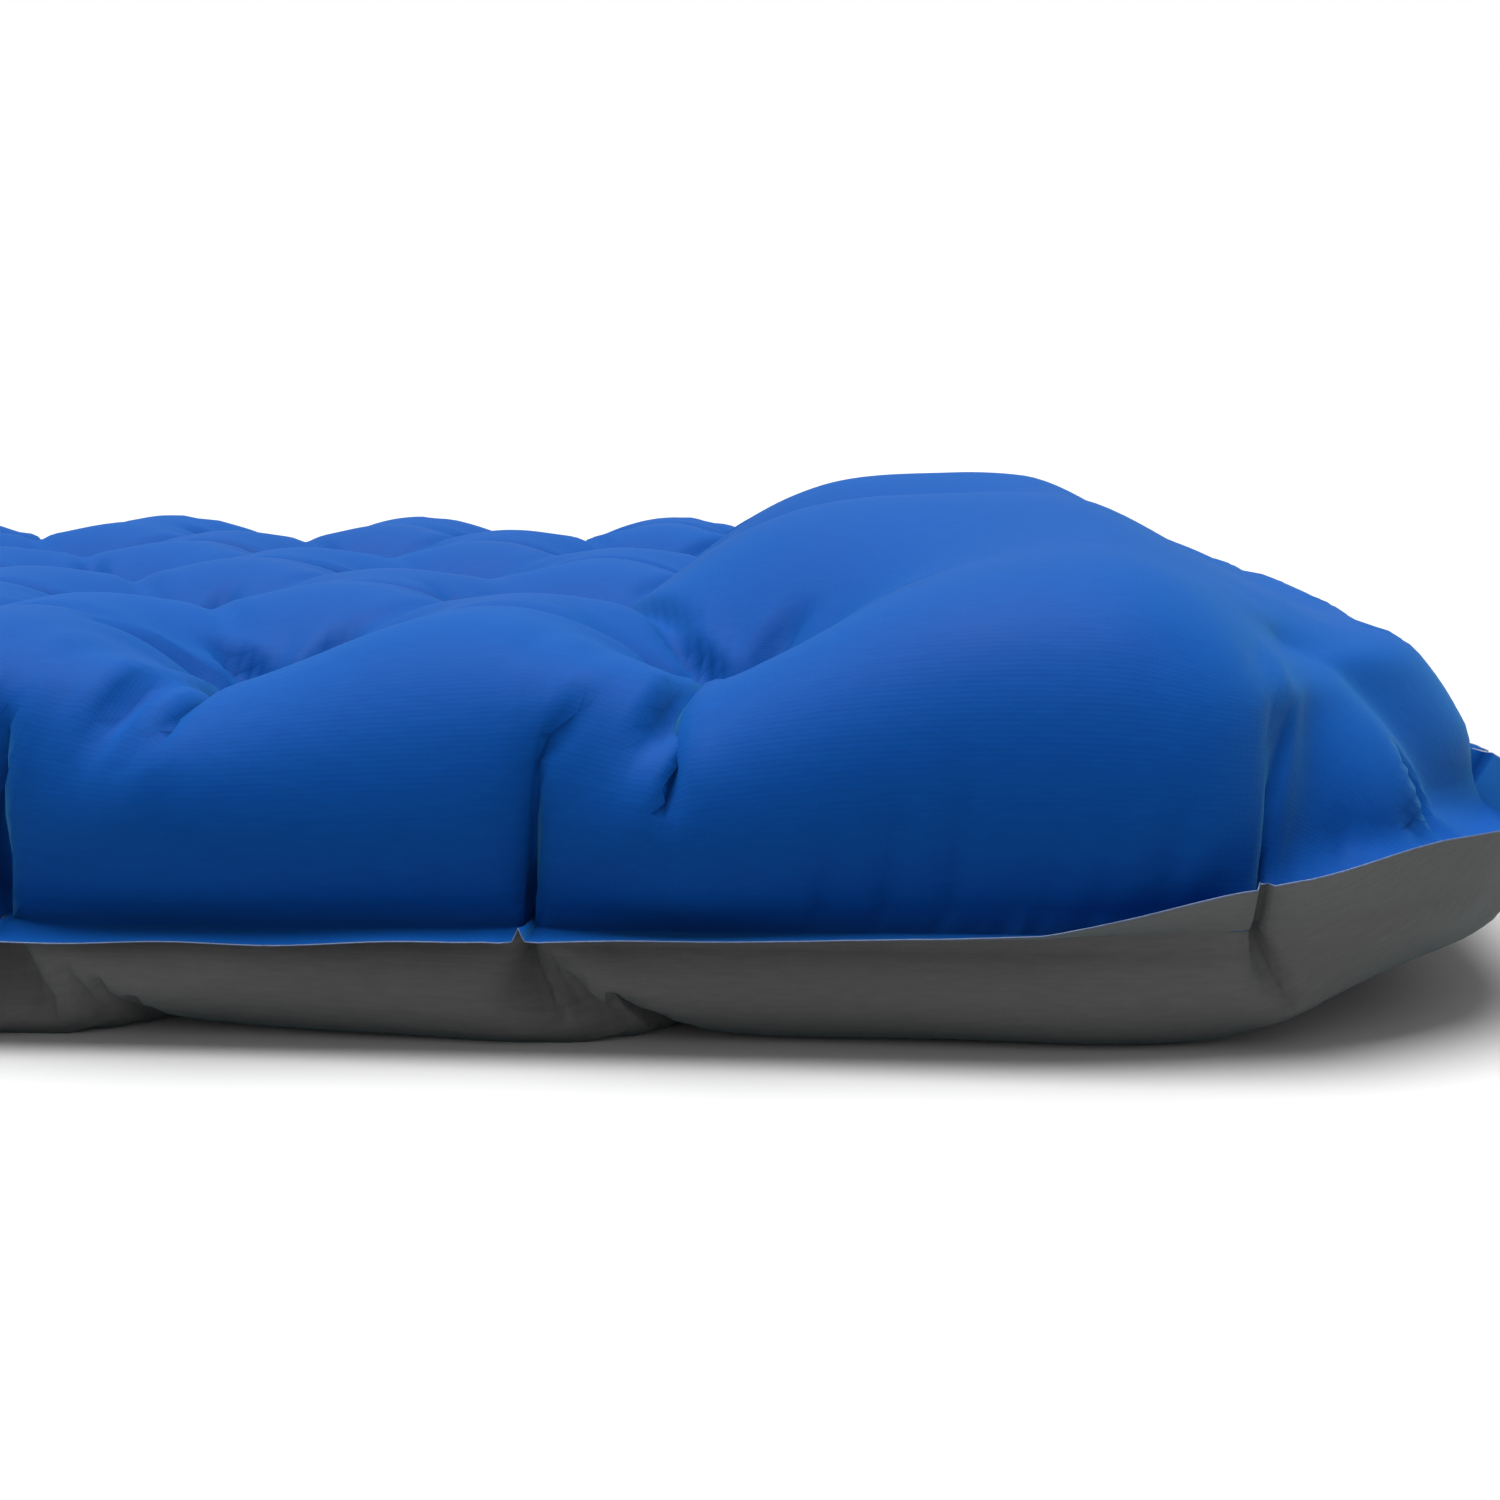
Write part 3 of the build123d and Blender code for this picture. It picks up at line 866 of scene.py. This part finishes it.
def strap_mesh(name, ring_bore, ring_radius, ring_z, hinge_x, lid_edge, lid_z):
    """A strap from a ring, round a loop and along to a lid, with rounded edges and seventeen points round
    its loop. Heights are above the cloth round the valve, and X and radii are from the valve's
    middle."""
    side = 1 if hinge_x > 0 else -1
    loop = (lid_z - ring_z) / 2
    start = side * (ring_radius - INTO_RING)
    path = [(start + (hinge_x - start) * n / 4, ring_z) for n in range(4)]
    for n in range(17):
        a = math.pi * n / 16
        path.append((hinge_x + side * loop * math.sin(a), ring_z + loop - loop * math.cos(a)))
    end = side * (lid_edge - INTO_LID)
    path += [(hinge_x + (end - hinge_x) * n / 4, lid_z) for n in range(1, 5)]
    bm = bmesh.new()
    sweep(bm, path, rounded_section(STRAP_WIDTH, STRAP, STRAP_ROUNDING))
    ring = rounded_section(ring_radius - ring_bore, STRAP, STRAP_ROUNDING)
    lathe(bm, ring, (ring_radius + ring_bore) / 2, ring_z)
    bmesh.ops.recalc_face_normals(bm, faces=bm.faces)
    for v in bm.verts:
        v.co = (v.co + Vector((VALVE[0], VALVE[1], TOP_Z))) / 1000
    mesh = bpy.data.meshes.new(name)
    bm.to_mesh(mesh)
    bm.free()
    mesh.polygons.foreach_set("use_smooth", [True] * len(mesh.polygons))
    return link(name, mesh)


# ---------------------------------------------------------------- materials

WEAVE_SCALE = 380.0  # of the wave textures: one wave, a repeat of two threads, in 0.83 mm


class Nodes:
    """A material's node tree, with short calls to add and join nodes."""

    def __init__(self, name):
        self.material = bpy.data.materials.new(name)
        self.material.use_nodes = True
        self.tree = self.material.node_tree
        self.shader = self.tree.nodes["Principled BSDF"]

    def add(self, kind, **inputs):
        node = self.tree.nodes.new(kind)
        for key, value in inputs.items():
            node.inputs[key.replace("_", " ")].default_value = value
        return node

    def join(self, source, output, target, socket):
        self.tree.links.new(source.outputs[output], target.inputs[socket])

    def set(self, **inputs):
        for key, value in inputs.items():
            self.shader.inputs[key.replace("_", " ")].default_value = value

    def math(self, operation, a, b):
        """A Math node of two (node, output) pairs or numbers."""
        node = self.tree.nodes.new("ShaderNodeMath")
        node.operation = operation
        for n, value in enumerate((a, b)):
            if isinstance(value, tuple):
                self.tree.links.new(value[0].outputs[value[1]], node.inputs[n])
            else:
                node.inputs[n].default_value = value
        return node

    def noise(self, coordinates, output, scale, detail=3.0, rough=0.55):
        node = self.add("ShaderNodeTexNoise", Scale=scale, Detail=detail, Roughness=rough)
        self.join(coordinates, output, node, "Vector")
        return node

    def ramp(self, source, output, low, high):
        """A two-colour ramp."""
        node = self.tree.nodes.new("ShaderNodeValToRGB")
        node.color_ramp.elements[0].color = (*low, 1)
        node.color_ramp.elements[1].color = (*high, 1)
        node.color_ramp.elements[0].position = 0.3
        node.color_ramp.elements[1].position = 0.7
        self.join(source, output, node, "Fac")
        return node

    def range(self, source, output, low, high):
        """Map 0.3 to 0.7 onto low to high."""
        node = self.add("ShaderNodeMapRange")
        node.inputs["From Min"].default_value = 0.3
        node.inputs["From Max"].default_value = 0.7
        node.inputs["To Min"].default_value = low
        node.inputs["To Max"].default_value = high
        self.join(source, output, node, "Value")
        return node

    def bump(self, source, output, strength, distance, under=None):
        node = self.add("ShaderNodeBump", Strength=strength, Distance=distance)
        self.join(source, output, node, "Height")
        if under:
            self.join(under, "Normal", node, "Normal")
        return node


def fabric(name, dark, light, sheen, rough):
    """A fine plain weave, coated on the inside, with slight slubs, soft creases and a faint sheen."""
    m = Nodes(name)
    place = m.add("ShaderNodeTexCoord")
    cloud = m.noise(place, "Object", 9.0, 4.0)
    slub = m.tree.nodes.new("ShaderNodeMapping")
    slub.inputs["Scale"].default_value = (140, 900, 1)
    m.join(place, "UV", slub, "Vector")
    threads = m.noise(slub, "Vector", 1.0, 2.0)
    both = m.math("ADD", (cloud, "Fac"), (threads, "Fac"))
    mean = m.math("MULTIPLY", (both, "Value"), 0.5)
    colour = m.ramp(mean, "Value", dark, light)
    m.join(colour, "Color", m.shader, "Base Color")
    bands = []
    for direction in ("X", "Y"):
        wave = m.add("ShaderNodeTexWave", Scale=WEAVE_SCALE, Distortion=0.6, Detail=1.0, Detail_Scale=2.0)
        wave.bands_direction = direction
        wave.wave_profile = "SIN"
        m.join(place, "UV", wave, "Vector")
        bands.append(wave)
    weave = m.math("MULTIPLY", (bands[0], "Fac"), (bands[1], "Fac"))
    crease = m.noise(place, "Object", 38.0, 5.0, 0.6)
    soft = m.bump(crease, "Fac", 0.22, 0.0016)
    fine = m.bump(weave, "Value", 0.22, 0.00012, soft)
    m.join(fine, "Normal", m.shader, "Normal")
    gloss = m.range(cloud, "Fac", rough - 0.05, rough + 0.06)
    m.join(gloss, "Result", m.shader, "Roughness")
    m.set(Sheen_Weight=sheen, Sheen_Roughness=0.45, Sheen_Tint=(0.16, 0.75, 1.0, 1.0))
    m.set(Specular_IOR_Level=0.04)
    return m.material


def moulded(name, dark, light, rough, grain, coat=0.0):
    """Moulded plastic or rubber: a fine spark-eroded grain, slight colour drift and handled gloss."""
    m = Nodes(name)
    place = m.add("ShaderNodeTexCoord")
    drift = m.noise(place, "Object", 90.0, 3.0)
    colour = m.ramp(drift, "Fac", dark, light)
    m.join(colour, "Color", m.shader, "Base Color")
    handled = m.noise(place, "Object", 260.0, 4.0)
    gloss = m.range(handled, "Fac", rough - 0.07, rough + 0.08)
    m.join(gloss, "Result", m.shader, "Roughness")
    pits = m.noise(place, "Object", 5200.0, 2.0)
    surface = m.bump(pits, "Fac", grain, 0.00006)
    m.join(surface, "Normal", m.shader, "Normal")
    if coat:
        m.set(Coat_Weight=coat, Coat_Roughness=0.25)
    return m.material


def film(name, dark, light, clear):
    """Melted or plain polyurethane film: smooth, a little wavy, slightly see-through."""
    m = Nodes(name)
    place = m.add("ShaderNodeTexCoord")
    flow = m.noise(place, "Object", 400.0, 3.0)
    colour = m.ramp(flow, "Fac", dark, light)
    m.join(colour, "Color", m.shader, "Base Color")
    gloss = m.range(flow, "Fac", 0.28, 0.42)
    m.join(gloss, "Result", m.shader, "Roughness")
    wavy = m.bump(flow, "Fac", 0.3, 0.0002)
    m.join(wavy, "Normal", m.shader, "Normal")
    m.set(Transmission_Weight=clear, IOR=1.49)
    return m.material


def silicone(name):
    """Translucent silicone rubber."""
    m = Nodes(name)
    place = m.add("ShaderNodeTexCoord")
    drift = m.noise(place, "Object", 150.0, 3.0)
    colour = m.ramp(drift, "Fac", (0.26, 0.27, 0.28), (0.33, 0.34, 0.35))
    m.join(colour, "Color", m.shader, "Base Color")
    gloss = m.range(drift, "Fac", 0.3, 0.42)
    m.join(gloss, "Result", m.shader, "Roughness")
    skin = m.bump(m.noise(place, "Object", 2500.0, 2.0), "Fac", 0.1, 0.00005)
    m.join(skin, "Normal", m.shader, "Normal")
    m.set(Subsurface_Weight=0.2, Subsurface_Scale=0.002)
    return m.material


MATERIALS = {
    "blue_fabric": fabric("blue_fabric", (0.0003, 0.038, 0.196), (0.0006, 0.046, 0.224), 0.11, 0.62),
    "grey_fabric": fabric("grey_fabric", (0.080, 0.080, 0.079), (0.101, 0.101, 0.100), 0.06, 0.62),
    "weld_film": film("weld_film", (0.06, 0.10, 0.20), (0.10, 0.15, 0.28), 0.2),
    "tie_film": film("tie_film", (0.55, 0.57, 0.60), (0.66, 0.68, 0.70), 0.5),
    "valve_plastic": moulded("valve_plastic", (0.018, 0.018, 0.020), (0.030, 0.030, 0.033), 0.42, 0.35),
    "cap_plastic": moulded("cap_plastic", (0.026, 0.026, 0.028), (0.040, 0.040, 0.043), 0.36, 0.3, 0.15),
    "strap_rubber": moulded("strap_rubber", (0.016, 0.016, 0.018), (0.028, 0.028, 0.031), 0.6, 0.5),
    "silicone": silicone("silicone"),
}

# ---------------------------------------------------------------- the pieces

cloth = inflate()
rings = flange_rings(cloth)


def dress(piece, slot, body, *nodes):
    """Give a new piece its material, body and the CAD nodes that it stands for."""
    piece.data.materials.append(MATERIALS[slot])
    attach(piece, body)
    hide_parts(*nodes)


top_cloth = sheet_mesh("top_cloth", cloth, rings, True)
bottom_cloth = sheet_mesh("bottom_cloth", cloth, rings, False)
edge_bead = film_mesh("edge_bead", rings)
dress(top_cloth, "blue_fabric", "mattress", "top_sheet")
dress(bottom_cloth, "grey_fabric", "mattress", "bottom_sheet")
dress(edge_bead, "weld_film", "mattress", "edge_weld")

lid_strap = strap_mesh(
    "lid_strap_soft", ring_bore=18.1, ring_radius=20.5, ring_z=1.4, hinge_x=-24.0, lid_edge=19.02, lid_z=5.0,
)
lid_strap.data.materials.append(MATERIALS["strap_rubber"])
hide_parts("lid_strap")
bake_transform(lid_strap)
cap_strap = strap_mesh(
    "cap_strap_soft", ring_bore=10.1, ring_radius=12.4, ring_z=6.9, hinge_x=15.5, lid_edge=11.52, lid_z=9.9,
)
cap_strap.data.materials.append(MATERIALS["strap_rubber"])
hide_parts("cap_strap")
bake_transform(cap_strap)

# CAD pieces that keep their shape, and their materials
KEPT = {
    "spot_welds": "weld_film",
    "tie_straps": "tie_film",
    "valve_base": "valve_plastic",
    "deflate_lid": "cap_plastic",
    "lid_seal": "silicone",
    "check_membrane": "silicone",
    "inflate_cap": "cap_plastic",
    "cap_seal": "silicone",
}
for node, slot in KEPT.items():
    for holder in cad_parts[node].material_slots:
        holder.material = MATERIALS[slot]

# ---------------------------------------------------------------- camera, floor and light

LENS, SENSOR = 49.872, 36.0  # focal length and sensor width, in millimetres
CAMERA_PLACE = (0.795, -0.812, 0.157)
CAMERA_DOWN, CAMERA_TURN = 9.18, 4.0  # degrees below level, and to the left of +Y
FLOOR_REACH, FLOOR_GREY = 12, 0.41
ROOM_LIGHT, OVERHEAD_LIGHT = 0.55, 6.9
OVERHEAD_ANGLE = 50  # degrees that the overhead light takes up in the sky
OVERHEAD_TILT = (-8, -4)  # degrees about X and Y


def make_camera():
    """A camera low and close beside the head end."""
    data = bpy.data.cameras.new("camera")
    camera = link("camera", data)
    data.sensor_width = SENSOR
    data.lens = LENS
    data.clip_start, data.clip_end = 0.01, 50
    camera.location = CAMERA_PLACE
    camera.rotation_euler = (math.radians(90 - CAMERA_DOWN), 0, math.radians(CAMERA_TURN))
    bpy.context.scene.camera = camera


def make_floor():
    """A plain pale floor."""
    mesh = bpy.data.meshes.new("floor")
    r = FLOOR_REACH
    mesh.from_pydata([(-r, -r, 0), (r, -r, 0), (r, r, 0), (-r, r, 0)], [], [(0, 1, 2, 3)])
    pale = Nodes("floor")
    pale.set(Base_Color=(FLOOR_GREY, FLOOR_GREY, FLOOR_GREY, 1), Roughness=0.85)
    mesh.materials.append(pale.material)
    link("floor", mesh)


def make_world(strength):
    """Even white studio light, which shows brighter behind the object than the light that it gives."""
    world = bpy.data.worlds.new("studio")
    bpy.context.scene.world = world
    world.use_nodes = True
    tree = world.node_tree
    back = tree.nodes["Background"]
    back.inputs["Color"].default_value = (1, 1, 1, 1)
    seen = tree.nodes.new("ShaderNodeLightPath")
    level = tree.nodes.new("ShaderNodeMix")
    level.inputs["A"].default_value = strength
    level.inputs["B"].default_value = 1.0
    tree.links.new(seen.outputs["Is Camera Ray"], level.inputs["Factor"])
    tree.links.new(level.outputs["Result"], back.inputs["Strength"])


def make_overhead(strength):
    """A large soft light above the object, a little to its far side and its foot end."""
    data = bpy.data.lights.new("overhead", "SUN")
    data.energy = strength
    data.angle = math.radians(OVERHEAD_ANGLE)
    light = link("overhead", data)
    light.rotation_euler = (math.radians(OVERHEAD_TILT[0]), math.radians(OVERHEAD_TILT[1]), 0)


make_camera()
make_floor()
make_world(ROOM_LIGHT)
make_overhead(OVERHEAD_LIGHT)
bpy.context.scene.view_settings.view_transform = "Standard"
